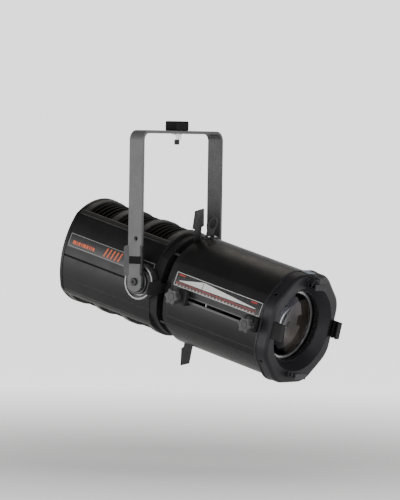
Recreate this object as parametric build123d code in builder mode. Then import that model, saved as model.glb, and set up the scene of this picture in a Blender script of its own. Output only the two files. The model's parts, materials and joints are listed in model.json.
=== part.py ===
from build123d import *
import math
import os

# Ellipsoidal (profile) spotlight hanging in its yoke: all lengths in millimetres.
# The origin is the top face of the hanging shoe, +Z up, the lens end towards +X.
# The head is drawn about its own frame: station u along the optical axis from the tilt
# pivot, y sideways, v upwards from the axis. Station planes below place every sketch.

# ---- Driving dimensions ----
PIVOT_DROP = 367.0          # tilt pivot below the hanging face
HEAD_TILT = 14.6            # nose-down angle of the optical axis, degrees

REAR_END = -257.0           # back of the rear cap
BAY_COUNT = 3
FRAME_THICKNESS = 16.0
GATE_START = 24.0
BLADE_GAP_START = 46.0
BLADE_GAP_END = 65.0
BARREL_START = 82.0
RING_START = 350.0
RING_END = 385.0
CLIP_END = 409.0

BODY_RADIUS = 125.0
SIDE_RADIUS = 185.0         # curve of the flattened sides
REAR_HALF_WIDTH = 111.0
BARREL_HALF_WIDTH = 117.0
WALL = 4.0

YOKE_SPAN = 291.0           # outside to outside
STRAP_WIDTH = 40.0
STRAP_THICKNESS = 7.0
TONGUE_WIDTH = 32.0
YOKE_CORNER = 23.0
STRAP_EDGE = 0.8            # rounding of the strap's rolled edges
SHOE_HEIGHT = 22.0
DISC_RADIUS = 41.0
BOLT_RADIUS = 6.0
NUT_FLATS = 19.0
NUT_HEIGHT = 10.8
WASHER_THICKNESS = 2.5
MOUNT_THREAD_RADIUS = 5.1
MOUNT_THREAD_DEPTH = 12.0

APERTURE_RADIUS = 48.0
BLADE_PITCH = 3.6
BLADE_THICKNESS = 1.2
HANDLE_THICKNESS = 3.4
SLOT_HALF_HEIGHT = 3.4
RAIL_RADIUS = 5.0
RAIL_HEIGHT = 106.0
RAIL_CLEARANCE = 0.06
REAR_LENS_STATION = 118.0
FRONT_LENS_STATION = 336.0
KNOB_FACE = 153.0           # distance of a star knob's face from the axis
OPENING_RADIUS = 104.0      # hollow behind the front ring's mouth

HEAD = Plane(
    origin=(0, 0, -PIVOT_DROP),
    x_dir=(math.cos(math.radians(HEAD_TILT)), 0, -math.sin(math.radians(HEAD_TILT))),
    z_dir=(math.sin(math.radians(HEAD_TILT)), 0, math.cos(math.radians(HEAD_TILT))),
)
NEAR = -1
FAR = 1


def across(u, turn=0.0):
    """Plane across the axis at station u: its x is sideways and its y upwards, turned about the axis."""
    sideways = HEAD.y_dir * math.cos(math.radians(turn)) + HEAD.z_dir * math.sin(math.radians(turn))
    return Plane(origin=HEAD.from_local_coords((u, 0, 0)), x_dir=sideways, z_dir=HEAD.x_dir)


def beside(side, y, u=0.0, v=0.0):
    """Plane parallel to the head's side at distance y, facing outwards: its y is upwards."""
    outward = HEAD.y_dir * side
    return Plane(origin=HEAD.from_local_coords((u, side * y, v)), x_dir=HEAD.x_dir * -side, z_dir=outward)


def yoke_side(side, y, z):
    """Upright plane facing outwards from the yoke at height z above the pivot: its y is upwards."""
    return Plane(origin=(0, side * y, z - PIVOT_DROP), x_dir=(-side, 0, 0), z_dir=(0, side, 0))


def axial():
    """Plane holding the optical axis, facing the near side: its x is forward and its y upwards."""
    return Plane(origin=HEAD.origin, x_dir=HEAD.x_dir, z_dir=-HEAD.y_dir)


def radial(u, angle, radius):
    """Plane facing away from the optical axis in the direction of angle: its x is forward."""
    section = across(u)
    turn = math.radians(angle)
    outward = section.x_dir * math.cos(turn) + section.y_dir * math.sin(turn)
    return Plane(origin=section.origin + outward * radius, x_dir=HEAD.x_dir, z_dir=outward)


def outline(radius, half_width):
    """Body section: a circle whose sides are flattened to arcs of SIDE_RADIUS."""
    with BuildSketch(mode=Mode.PRIVATE) as shape:
        Circle(radius)
        for side in (NEAR, FAR):
            with Locations((side * (SIDE_RADIUS - half_width), 0)):
                Circle(SIDE_RADIUS, mode=Mode.INTERSECT)
    return shape.sketch


def shell_section(radius, half_width, wall):
    """The wall between two body sections."""
    with BuildSketch(mode=Mode.PRIVATE) as shape:
        add(outline(radius, half_width))
        add(outline(radius - wall, half_width - wall), mode=Mode.SUBTRACT)
    return shape.sketch


def save(part, label):
    """Name a finished piece and write it to its own file."""
    part.label = label
    export_step(part, f"parts/{label}.step")


os.makedirs("parts", exist_ok=True)

# ---- Hanging point: shoe, bolt, washer and nut ----
SHOE_LENGTH = 46.0
SHOE_WIDTH = 32.0
SHOE_FLARE = 3.0
BOLT_RECESS = 8.0
BOLT_LENGTH = 54.0
WASHER_RADIUS = 12.0

with BuildPart() as hanging_shoe:
    with BuildSketch(Plane.XZ.offset(-SHOE_LENGTH / 2)):
        with Locations((0, -SHOE_HEIGHT / 2)):
            RectangleRounded(SHOE_WIDTH, SHOE_HEIGHT, 3)
    extrude(amount=SHOE_LENGTH)
    with BuildSketch(Plane.YZ.offset(SHOE_WIDTH / 2)):
        for end in (-1, 1):
            with Locations((end * SHOE_LENGTH / 4, 0)):
                Rectangle(SHOE_LENGTH / 5, SHOE_FLARE * 2)
    extrude(amount=-SHOE_WIDTH, mode=Mode.SUBTRACT)
    fillet(hanging_shoe.faces().filter_by(Axis.Y).edges(), 1)
    with Locations((0, 0, 0)):
        Hole(MOUNT_THREAD_RADIUS, depth=MOUNT_THREAD_DEPTH)
    with Locations(Plane.XY.offset(-SHOE_HEIGHT).location * Location((0, 0, 0), (180, 0, 0))):
        Hole(BOLT_RADIUS, depth=BOLT_RECESS)
save(hanging_shoe.part, "hanging_shoe")

with BuildPart() as hanging_bolt:
    with BuildSketch(Plane.XY.offset(-BOLT_LENGTH)):
        Circle(BOLT_RADIUS)
    extrude(amount=BOLT_LENGTH - SHOE_HEIGHT + BOLT_RECESS)
    chamfer(hanging_bolt.edges().group_by(Axis.Z)[0], 1.2)
save(hanging_bolt.part, "hanging_bolt")

CROSSBAR_UNDERSIDE = -SHOE_HEIGHT - STRAP_THICKNESS
with BuildPart() as hanging_washer:
    with BuildSketch(Plane.XY.offset(CROSSBAR_UNDERSIDE)):
        Circle(WASHER_RADIUS)
        Circle(BOLT_RADIUS, mode=Mode.SUBTRACT)
    extrude(amount=-WASHER_THICKNESS)
save(hanging_washer.part, "hanging_washer")

with BuildPart() as hanging_nut:
    with BuildSketch(Plane.XY.offset(CROSSBAR_UNDERSIDE - WASHER_THICKNESS)):
        RegularPolygon(NUT_FLATS / 2, 6, major_radius=False)
        Circle(BOLT_RADIUS, mode=Mode.SUBTRACT)
    extrude(amount=-NUT_HEIGHT)
save(hanging_nut.part, "hanging_nut")

# ---- Yoke: strap, locating bands, tilt plates, pivot screws ----
STRAP_TOP = -SHOE_HEIGHT
LEG_END = STRAP_WIDTH / 2 + 3
TONGUE_TOP = 82.0           # heights above the pivot
BAND_TOP = 58.0
BAND_BOTTOM = 41.0
BAND_DEPTH = 3.0
PLATE_THICKNESS = 5.0
LEG_HOLE_HEIGHT = 98.0
LEG_HOLE_RADIUS = 5.5
LEG_HOLE_OFFSET = 3.0       # the hole sits this far forward of the leg's middle
PIVOT_RADIUS = 6.0
PIVOT_FIT = 0.06
SCREW_HEAD_RADIUS = 9.0
SCREW_HEAD_HEIGHT = 4.5
STRAP_OUTSIDE = YOKE_SPAN / 2
STRAP_INSIDE = STRAP_OUTSIDE - STRAP_THICKNESS
YOKE_HEIGHT = PIVOT_DROP - SHOE_HEIGHT + LEG_END


def arch(width, height, bend):
    """Upright rectangle hanging from the crossbar's level, its two top corners bent round."""
    with BuildSketch(mode=Mode.PRIVATE) as shape:
        Rectangle(width, height, align=(Align.CENTER, Align.MAX))
        fillet(shape.vertices().group_by(Axis.Y)[-1], bend)
    return shape.sketch


def leg_side(foot):
    """Side view of a leg: full width above, a narrower tongue with a round foot below."""
    with BuildSketch(mode=Mode.PRIVATE) as shape:
        with Locations((0, TONGUE_TOP)):
            Rectangle(STRAP_WIDTH, PIVOT_DROP, align=(Align.CENTER, Align.MIN))
        Rectangle(TONGUE_WIDTH, TONGUE_TOP, align=(Align.CENTER, Align.MIN))
        Circle(foot)
    return shape.sketch


with BuildPart() as yoke_strap:
    with BuildSketch(Plane.YZ.offset(-STRAP_WIDTH / 2)):
        with Locations((0, STRAP_TOP)):
            add(arch(YOKE_SPAN, YOKE_HEIGHT, YOKE_CORNER))
        with Locations((0, STRAP_TOP - STRAP_THICKNESS)):
            add(arch(2 * STRAP_INSIDE, YOKE_HEIGHT, YOKE_CORNER - STRAP_THICKNESS), mode=Mode.SUBTRACT)
    extrude(amount=STRAP_WIDTH)
    fillet(yoke_strap.faces().filter_by(Axis.X).edges(), STRAP_EDGE)
    with BuildSketch(yoke_side(FAR, STRAP_OUTSIDE, 0)):
        add(leg_side(LEG_END))
    extrude(amount=-YOKE_SPAN, mode=Mode.INTERSECT)
    for side in (NEAR, FAR):
        with BuildSketch(yoke_side(side, STRAP_OUTSIDE, (BAND_TOP + BAND_BOTTOM) / 2)):
            Rectangle(STRAP_WIDTH, BAND_TOP - BAND_BOTTOM)
        extrude(amount=-BAND_DEPTH, mode=Mode.SUBTRACT)
    with BuildSketch(yoke_side(FAR, STRAP_OUTSIDE, 0)):
        Circle(PIVOT_RADIUS)
        with Locations((-LEG_HOLE_OFFSET, LEG_HOLE_HEIGHT)):
            Circle(LEG_HOLE_RADIUS)
    extrude(amount=-YOKE_SPAN, mode=Mode.SUBTRACT)
    with BuildSketch(Plane.XY.offset(STRAP_TOP)):
        Circle(BOLT_RADIUS)
    extrude(amount=-STRAP_THICKNESS, mode=Mode.SUBTRACT)
save(yoke_strap.part, "yoke_strap")

with BuildPart() as leg_bands:
    for side in (NEAR, FAR):
        with BuildSketch(yoke_side(side, STRAP_OUTSIDE, (BAND_TOP + BAND_BOTTOM) / 2)):
            Rectangle(TONGUE_WIDTH, BAND_TOP - BAND_BOTTOM)
        extrude(amount=-BAND_DEPTH)
save(leg_bands.part, "leg_bands")

# The tilt plate stands inside each leg and carries the friction pad.
PLATE_LOW = 12.0
PLATE_BACK = 38.0
PLATE_FRONT = 18.0
PAD_RADIUS = 29.0
PAD_THICKNESS = 2.5
PLATE_INSIDE = STRAP_INSIDE - PLATE_THICKNESS
with BuildPart() as tilt_plates:
    for side in (NEAR, FAR):
        with BuildSketch(yoke_side(side, PLATE_INSIDE, 0)):
            with Locations((side * (PLATE_BACK - PLATE_FRONT) / 2, (TONGUE_TOP + PLATE_LOW) / 2)):
                RectangleRounded(PLATE_BACK + PLATE_FRONT, TONGUE_TOP - PLATE_LOW, 8)
            Circle(PAD_RADIUS)
            Circle(PIVOT_RADIUS, mode=Mode.SUBTRACT)
        extrude(amount=PLATE_THICKNESS)
save(tilt_plates.part, "tilt_plates")

with BuildPart() as friction_pads:
    for side in (NEAR, FAR):
        with BuildSketch(yoke_side(side, PLATE_INSIDE - PAD_THICKNESS, 0)):
            Circle(PAD_RADIUS)
            Circle(PIVOT_RADIUS, mode=Mode.SUBTRACT)
        extrude(amount=PAD_THICKNESS)
save(friction_pads.part, "friction_pads")

PIVOT_INSIDE = 98.0
with BuildPart() as pivot_screw_near:
    with BuildSketch(yoke_side(NEAR, PIVOT_INSIDE, 0)):
        Circle(PIVOT_RADIUS)
    extrude(amount=STRAP_OUTSIDE - PIVOT_INSIDE)
    with BuildSketch(yoke_side(NEAR, STRAP_OUTSIDE, 0)):
        Circle(SCREW_HEAD_RADIUS)
    extrude(amount=SCREW_HEAD_HEIGHT)
    fillet(pivot_screw_near.faces().sort_by(Axis.Y)[0].edges(), 2)
    with BuildSketch(yoke_side(NEAR, STRAP_OUTSIDE + SCREW_HEAD_HEIGHT, 0)):
        RegularPolygon(3.6, 6)
    extrude(amount=-2.6, mode=Mode.SUBTRACT)
save(pivot_screw_near.part, "pivot_screw_near")

STUD_END = 164.0
with BuildPart() as pivot_stud_far:
    with BuildSketch(yoke_side(FAR, PIVOT_INSIDE, 0)):
        Circle(PIVOT_RADIUS)
    extrude(amount=STUD_END - PIVOT_INSIDE)
    chamfer(pivot_stud_far.faces().sort_by(Axis.Y)[-1].edges(), 1)
save(pivot_stud_far.part, "pivot_stud_far")

KNOB_GAP = 0.3              # between a knob and what it turns against

# ---- Rear body: frames, side panels, louvres, cap ----
OPTICAL_AXIS = Axis(HEAD.origin, HEAD.x_dir)
CAP_THICKNESS = 9.0
BODY_START = REAR_END + CAP_THICKNESS
BODY_LENGTH = GATE_START - BODY_START
FRAME_PITCH = (BODY_LENGTH - FRAME_THICKNESS) / BAY_COUNT
BAY_LENGTH = FRAME_PITCH - FRAME_THICKNESS
FRAME_DEPTH = 22.0
PANEL_LIP = 80.0            # the side panels reach inwards to this distance from the middle
FIN_COUNT = 5
FIN_THICKNESS = 5.5
FIN_RADIUS = BODY_RADIUS - 3.5
FIN_ROOT = 107.0
LINER_THICKNESS = 3.0
LOUVRE_GAP = 1.0            # between a louvre panel and the side panels' lips
GROOVE_HEIGHT = -7.0
SEAM_HEIGHT = -62.0
GROOVE_DEPTH = 1.6
GROOVE_WIDTH = 4.0
SEAM_WIDTH = 2.0
FRAME_STATIONS = [BODY_START + number * FRAME_PITCH for number in range(BAY_COUNT + 1)]
CAP_SCREW_CIRCLE = 98.0
CAP_SCREW_RADIUS = 2.6
CAP_SCREW_HEAD_RADIUS = 4.6
GLAND_RADIUS = 9.0
GLAND_BORE = 5.0
GLAND_HEIGHT = -72.0
TRAY_HOLE = 34.0


def panel_section(side):
    """Section of one side panel with its turned-in upper and lower lips."""
    with BuildSketch(mode=Mode.PRIVATE) as shape:
        add(shell_section(BODY_RADIUS, REAR_HALF_WIDTH, WALL))
        with Locations((side * (PANEL_LIP + BODY_RADIUS / 2), 0)):
            Rectangle(BODY_RADIUS, 2 * BODY_RADIUS, mode=Mode.INTERSECT)
    return shape.sketch


with BuildPart() as rear_cap:
    with BuildSketch(across(REAR_END)):
        add(outline(BODY_RADIUS + 1, REAR_HALF_WIDTH + 1))
    extrude(amount=CAP_THICKNESS)
    fillet(rear_cap.faces().sort_by(OPTICAL_AXIS)[0].edges(), 3)
    with BuildSketch(across(REAR_END)):
        Circle(TRAY_HOLE)
        with Locations((0, GLAND_HEIGHT)):
            Circle(GLAND_RADIUS)
        with PolarLocations(CAP_SCREW_CIRCLE, 4, 45):
            Circle(CAP_SCREW_RADIUS)
    extrude(amount=CAP_THICKNESS, mode=Mode.SUBTRACT)
save(rear_cap.part, "rear_cap")

with BuildPart() as rear_cap_screws:
    with BuildSketch(across(REAR_END - CAP_SCREW_RADIUS)):
        with PolarLocations(CAP_SCREW_CIRCLE, 4, 45):
            Circle(CAP_SCREW_HEAD_RADIUS)
    extrude(amount=CAP_SCREW_RADIUS)
    with BuildSketch(across(REAR_END)):
        with PolarLocations(CAP_SCREW_CIRCLE, 4, 45):
            Circle(CAP_SCREW_RADIUS)
    extrude(amount=CAP_THICKNESS)
save(rear_cap_screws.part, "rear_cap_screws")

GLAND_LENGTH = 18.0
with BuildPart() as cable_gland:
    with BuildSketch(across(REAR_END - GLAND_LENGTH)):
        with Locations((0, GLAND_HEIGHT)):
            RegularPolygon(12, 6, major_radius=False)
    extrude(amount=GLAND_LENGTH)
    with BuildSketch(across(REAR_END)):
        with Locations((0, GLAND_HEIGHT)):
            Circle(GLAND_RADIUS)
    extrude(amount=CAP_THICKNESS)
    with BuildSketch(across(REAR_END - GLAND_LENGTH)):
        with Locations((0, GLAND_HEIGHT)):
            Circle(GLAND_BORE)
    extrude(amount=GLAND_LENGTH + CAP_THICKNESS, mode=Mode.SUBTRACT)
save(cable_gland.part, "cable_gland")

with BuildPart() as body_frames:
    for station in FRAME_STATIONS:
        with BuildSketch(across(station)):
            add(shell_section(BODY_RADIUS, REAR_HALF_WIDTH, FRAME_DEPTH))
            for side in (NEAR, FAR):
                add(panel_section(side), mode=Mode.SUBTRACT)
        extrude(amount=FRAME_THICKNESS)
save(body_frames.part, "body_frames")

for side, name in ((NEAR, "side_panel_near"), (FAR, "side_panel_far")):
    with BuildPart() as side_panel:
        with BuildSketch(across(BODY_START)):
            add(panel_section(side))
        extrude(amount=BODY_LENGTH)
        with BuildSketch(beside(side, REAR_HALF_WIDTH)):
            Circle(PIVOT_RADIUS + PIVOT_FIT)
        extrude(amount=-3 * WALL, mode=Mode.SUBTRACT)
        with BuildSketch(across(BODY_START)):
            with Locations((side * REAR_HALF_WIDTH, GROOVE_HEIGHT)):
                Rectangle(2 * GROOVE_DEPTH, GROOVE_WIDTH)
            with Locations((side * (REAR_HALF_WIDTH - 10.5), SEAM_HEIGHT)):
                Rectangle(2 * GROOVE_DEPTH, SEAM_WIDTH)
        extrude(amount=BODY_LENGTH, mode=Mode.SUBTRACT)
    save(side_panel.part, name)


def louvre_section(turn_radius):
    """Part of a round section that lies between the side panels' lips, on the upper side."""
    with BuildSketch(mode=Mode.PRIVATE) as shape:
        Circle(turn_radius)
        Circle(FIN_ROOT - LINER_THICKNESS, mode=Mode.SUBTRACT)
        Rectangle(
            2 * (PANEL_LIP - LOUVRE_GAP), BODY_RADIUS, align=(Align.CENTER, Align.MIN), mode=Mode.INTERSECT
        )
    return shape.sketch


def louvres(turn):
    """Finned louvre panels that close the body between each two frames."""
    gap = (BAY_LENGTH - FIN_COUNT * FIN_THICKNESS) / (FIN_COUNT + 1)
    with BuildPart() as blocks:
        for station in FRAME_STATIONS[:-1]:
            bay_start = station + FRAME_THICKNESS
            with BuildSketch(across(bay_start, turn)):
                add(louvre_section(FIN_ROOT))
            extrude(amount=BAY_LENGTH)
            for fin in range(FIN_COUNT):
                fin_start = bay_start + gap + fin * (gap + FIN_THICKNESS)
                with BuildSketch(across(fin_start, turn)):
                    add(louvre_section(FIN_RADIUS))
                extrude(amount=FIN_THICKNESS)
    return blocks.part


save(louvres(0), "top_louvres")
save(louvres(180), "bottom_louvres")

# ---- Lamp and reflector ----
REFLECTOR_LONG = 150.0
REFLECTOR_SHORT = 83.0
REFLECTOR_WALL = 2.0
SECOND_FOCUS = 50.0
REFLECTOR_MIDDLE = SECOND_FOCUS - math.sqrt(REFLECTOR_LONG ** 2 - REFLECTOR_SHORT ** 2)
FIRST_FOCUS = 2 * REFLECTOR_MIDDLE - SECOND_FOCUS
REFLECTOR_MOUTH = -8.0
REFLECTOR_NECK = 24.0
LAMP_RADIUS = 10.0

with BuildPart() as reflector:
    with BuildSketch(axial()):
        with Locations((REFLECTOR_MIDDLE, 0)):
            Ellipse(REFLECTOR_LONG, REFLECTOR_SHORT)
            Ellipse(REFLECTOR_LONG - REFLECTOR_WALL, REFLECTOR_SHORT - REFLECTOR_WALL, mode=Mode.SUBTRACT)
        with Locations((REFLECTOR_MOUTH, REFLECTOR_NECK)):
            Rectangle(2 * REFLECTOR_LONG, REFLECTOR_SHORT, align=(Align.MAX, Align.MIN), mode=Mode.INTERSECT)
    revolve(axis=OPTICAL_AXIS)
save(reflector.part, "reflector")

with BuildPart() as reflector_ring:
    with BuildSketch(across(FRAME_STATIONS[2])):
        Circle(REFLECTOR_SHORT + 6)
        Circle(REFLECTOR_SHORT + 0.2, mode=Mode.SUBTRACT)
        add(outline(BODY_RADIUS - FRAME_DEPTH, REAR_HALF_WIDTH - FRAME_DEPTH), mode=Mode.INTERSECT)
    extrude(amount=FRAME_THICKNESS)
save(reflector_ring.part, "reflector_ring")

TRAY_THICKNESS = 5.0
with BuildPart() as lamp_tray:
    with BuildSketch(across(REAR_END - TRAY_THICKNESS)):
        Circle(46)
    extrude(amount=TRAY_THICKNESS)
    chamfer(lamp_tray.faces().sort_by(OPTICAL_AXIS)[0].edges(), 1.5)
    with BuildSketch(across(REAR_END)):
        Circle(TRAY_HOLE)
    extrude(amount=CAP_THICKNESS + 6)
save(lamp_tray.part, "lamp_tray")

SOCKET_START = REAR_END + CAP_THICKNESS + 6
SOCKET_END = FIRST_FOCUS - 22
with BuildPart() as lamp_socket:
    with BuildSketch(across(SOCKET_START)):
        RectangleRounded(36, 30, 4)
    extrude(amount=SOCKET_END - SOCKET_START)
save(lamp_socket.part, "lamp_socket")

with BuildPart() as lamp:
    with BuildSketch(across(SOCKET_END)):
        Circle(LAMP_RADIUS)
    extrude(amount=46)
    fillet(lamp.faces().sort_by(OPTICAL_AXIS)[-1].edges(), LAMP_RADIUS - 1)
save(lamp.part, "lamp")

with BuildPart() as centring_knob:
    with BuildSketch(across(REAR_END - TRAY_THICKNESS - KNOB_GAP)):
        Circle(11)
    extrude(amount=-13)
    fillet(centring_knob.faces().sort_by(OPTICAL_AXIS)[0].edges(), 2)
save(centring_knob.part, "lamp_centring_knob")

# ---- Gate: flanges, posts, aperture, pattern slot ----
GATE_RADIUS = 118.0
GATE_HALF_WIDTH = 110.0
GATE_BORE = 86.0
POST_CIRCLE = 112.5
POST_RADIUS = 3.5
PATTERN_START = 70.0
PATTERN_THICKNESS = 2.4
PATTERN_WIDTH = 90.0
PATTERN_CLEARANCE = 0.8
GATE_PLATE_START = 40.0
BRACKET_START = PATTERN_START + PATTERN_THICKNESS + PATTERN_CLEARANCE
BRACKET_TOP = 127.0
BRACKET_WIDTH = 44.0


def gate_flange(start, end):
    """Ring plate with the body's outline and a round bore."""
    with BuildPart() as flange:
        with BuildSketch(across(start)):
            add(outline(GATE_RADIUS, GATE_HALF_WIDTH))
            Circle(GATE_BORE, mode=Mode.SUBTRACT)
        extrude(amount=end - start)
    return flange.part


save(gate_flange(GATE_START, BLADE_GAP_START), "gate_rear_flange")

with BuildPart() as gate_front_flange:
    add(gate_flange(BLADE_GAP_END, BARREL_START))
    with BuildSketch(across(PATTERN_START - PATTERN_CLEARANCE)):
        with Locations((0, GATE_BORE - 30)):
            Rectangle(PATTERN_WIDTH + 4, GATE_RADIUS, align=(Align.CENTER, Align.MIN))
    extrude(amount=PATTERN_THICKNESS + 2 * PATTERN_CLEARANCE, mode=Mode.SUBTRACT)
    with BuildSketch(across(BARREL_START)):
        for height in (-RAIL_HEIGHT, RAIL_HEIGHT):
            with Locations((0, height)):
                Circle(RAIL_RADIUS)
    extrude(amount=-6, mode=Mode.SUBTRACT)
save(gate_front_flange.part, "gate_front_flange")

with BuildPart() as gate_posts:
    with BuildSketch(across(BLADE_GAP_START)):
        with PolarLocations(POST_CIRCLE, 4, 45):
            Circle(POST_RADIUS)
    extrude(amount=BLADE_GAP_END - BLADE_GAP_START)
save(gate_posts.part, "gate_posts")

with BuildPart() as gate_plate:
    with BuildSketch(across(GATE_PLATE_START)):
        Circle(GATE_BORE)
        Circle(APERTURE_RADIUS, mode=Mode.SUBTRACT)
    extrude(amount=3)
save(gate_plate.part, "gate_plate")

with BuildPart() as pattern_bracket:
    with BuildSketch(across(BRACKET_START)):
        with Locations((0, GATE_RADIUS)):
            Rectangle(BRACKET_WIDTH, BRACKET_TOP - GATE_RADIUS, align=(Align.CENTER, Align.MIN))
    extrude(amount=BARREL_START - BRACKET_START)
save(pattern_bracket.part, "pattern_bracket")

with BuildPart() as bracket_screws:
    for offset in (-1, 1):
        with BuildSketch(HEAD.offset(BRACKET_TOP)):
            with Locations(((BRACKET_START + BARREL_START) / 2, offset * 11)):
                Circle(3.4)
        extrude(amount=2.6)
save(bracket_screws.part, "bracket_screws")

LOOP_HEIGHT = 156.0
LOOP_RADIUS = 18.5
LOOP_HOLE = 11.5
with BuildPart() as pattern_holder:
    with BuildSketch(across(PATTERN_START)):
        with Locations((0, -PATTERN_WIDTH / 2)):
            Rectangle(PATTERN_WIDTH, PATTERN_WIDTH / 2 + 108, align=(Align.CENTER, Align.MIN))
        with Locations((0, 100)):
            Rectangle(26, LOOP_HEIGHT - 100, align=(Align.CENTER, Align.MIN))
        with Locations((0, LOOP_HEIGHT)):
            Circle(LOOP_RADIUS)
            Circle(LOOP_HOLE, mode=Mode.SUBTRACT)
        Circle(36, mode=Mode.SUBTRACT)
    extrude(amount=PATTERN_THICKNESS)
save(pattern_holder.part, "pattern_holder")

# ---- Shutters: one blade and one handle on each side of the gate ----
BLADE_HALF_WIDTH = 56.0
BLADE_INNER = 52.0
BLADE_OUTER = 88.0
TAIL_HALF_WIDTH = 11.0
HANDLE_START = 126.0
HANDLE_WIDEST = 148.0
HANDLE_TIP = 190.0
HANDLE_HALF_WIDTH = 19.0
HANDLE_TIP_HALF_WIDTH = 14.5
HANDLE_HOLE_RADIUS = 3.0
HANDLE_EDGE = 0.9
SHUTTERS = {                # station order in the gap, direction, distance pushed in
    "top": (2, 12.0, 0.0),
    "bottom": (3, 188.0, 5.0),
    "near": (1, 90.0, 28.0),
    "far": (0, -90.0, 10.0),
}


def shutter_station(order):
    """Middle of a blade's thickness."""
    return BLADE_GAP_START + 4.0 + order * BLADE_PITCH


for name, (order, turn, pushed) in SHUTTERS.items():
    middle = shutter_station(order)
    with BuildPart() as shutter_blade:
        with BuildSketch(across(middle - BLADE_THICKNESS / 2, turn)):
            with Locations((0, BLADE_INNER - pushed)):
                Rectangle(2 * BLADE_HALF_WIDTH, BLADE_OUTER - BLADE_INNER, align=(Align.CENTER, Align.MIN))
                Rectangle(2 * TAIL_HALF_WIDTH, HANDLE_START - BLADE_INNER, align=(Align.CENTER, Align.MIN))
        extrude(amount=BLADE_THICKNESS)
    with BuildPart() as shutter_handle:
        with BuildSketch(across(middle - HANDLE_THICKNESS / 2, turn)):
            with BuildLine():
                right = [
                    (TAIL_HALF_WIDTH, HANDLE_START - pushed),
                    (TAIL_HALF_WIDTH, HANDLE_WIDEST - 3 - pushed),
                    (HANDLE_HALF_WIDTH, HANDLE_WIDEST - pushed),
                    (HANDLE_TIP_HALF_WIDTH, HANDLE_TIP - pushed),
                ]
                left = [(-x, y) for x, y in reversed(right)]
                Polyline(*right, *left, close=True)
            make_face()
            with Locations((0, HANDLE_WIDEST + 14 - pushed)):
                Circle(HANDLE_HOLE_RADIUS, mode=Mode.SUBTRACT)
        extrude(amount=HANDLE_THICKNESS)
        fillet(shutter_handle.faces().filter_by(Plane(HEAD.origin, z_dir=HEAD.x_dir)).edges(), HANDLE_EDGE)
    save(Compound(children=[shutter_blade.part, shutter_handle.part]), f"shutter_{name}")

# ---- Front barrel, rails and bulkhead ----
BARREL_END = RING_START
SLOT_START = REAR_LENS_STATION - 9
SLOT_END = FRONT_LENS_STATION + 9
BULKHEAD_THICKNESS = 4.0
BULKHEAD_BORE = 88.0

with BuildPart() as front_barrel:
    with BuildSketch(across(BARREL_START)):
        add(shell_section(BODY_RADIUS, BARREL_HALF_WIDTH, WALL))
    extrude(amount=BARREL_END - BARREL_START)
    with BuildSketch(beside(NEAR, BARREL_HALF_WIDTH + 1)):
        with Locations(((SLOT_START + SLOT_END) / 2, 0)):
            RectangleRounded(SLOT_END - SLOT_START, 2 * SLOT_HALF_HEIGHT, SLOT_HALF_HEIGHT - 0.5)
    extrude(amount=-3 * WALL, mode=Mode.SUBTRACT)
    with BuildSketch(across(BARREL_START)):
        for side in (NEAR, FAR):
            with Locations((side * (BARREL_HALF_WIDTH - 8.3), SEAM_HEIGHT + 6)):
                Rectangle(2 * GROOVE_DEPTH, SEAM_WIDTH)
    extrude(amount=BARREL_END - BARREL_START, mode=Mode.SUBTRACT)
save(front_barrel.part, "front_barrel")

with BuildPart() as front_bulkhead:
    with BuildSketch(across(BARREL_END - BULKHEAD_THICKNESS)):
        add(outline(BODY_RADIUS - WALL, BARREL_HALF_WIDTH - WALL))
        Circle(BULKHEAD_BORE, mode=Mode.SUBTRACT)
        for height in (-RAIL_HEIGHT, RAIL_HEIGHT):
            with Locations((0, height)):
                Circle(RAIL_RADIUS, mode=Mode.SUBTRACT)
    extrude(amount=BULKHEAD_THICKNESS)
save(front_bulkhead.part, "front_bulkhead")

with BuildPart() as focus_rails:
    with BuildSketch(across(BARREL_START - 6)):
        for height in (-RAIL_HEIGHT, RAIL_HEIGHT):
            with Locations((0, height)):
                Circle(RAIL_RADIUS)
    extrude(amount=BARREL_END - BARREL_START + 6)
save(focus_rails.part, "focus_rails")

# ---- Lens carriages: carriage, lens, retaining ring, slider, star knob ----
CARRIAGE_THICKNESS = 14.0
CARRIAGE_RADIUS = 92.0
LENS_SEAT = 74.0
LENS_RADIUS = 77.0
LENS_VIEW = 72.0            # radius inside which the lens bulges
LENS_EDGE = 8.0
LUG_RADIUS = 10.5
ARM_THICKNESS = 11.0
ARM_HALF_HEIGHT = 2.8
SLIDER_INSIDE = BARREL_HALF_WIDTH + 0.6
SLIDER_THICKNESS = 12.0
SLIDER_LENGTH = 34.0
SLIDER_HEIGHT = 34.0
STUD_RADIUS = 4.5
KNOB_HUB_RADIUS = 11.0
KNOB_LOBES = 6
KNOB_LOBE_CIRCLE = 14.5
KNOB_LOBE_RADIUS = 5.0
KNOB_THICKNESS = 12.0
KNOB_EDGE = 2.5
SLIDER_FACE = SLIDER_INSIDE + SLIDER_THICKNESS
STUD_COVER = 3.7            # material left over the end of a knob's blind bore
STUD_END_GAP = 0.3
LOCK_FACE = STUD_END + STUD_END_GAP + STUD_COVER


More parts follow.
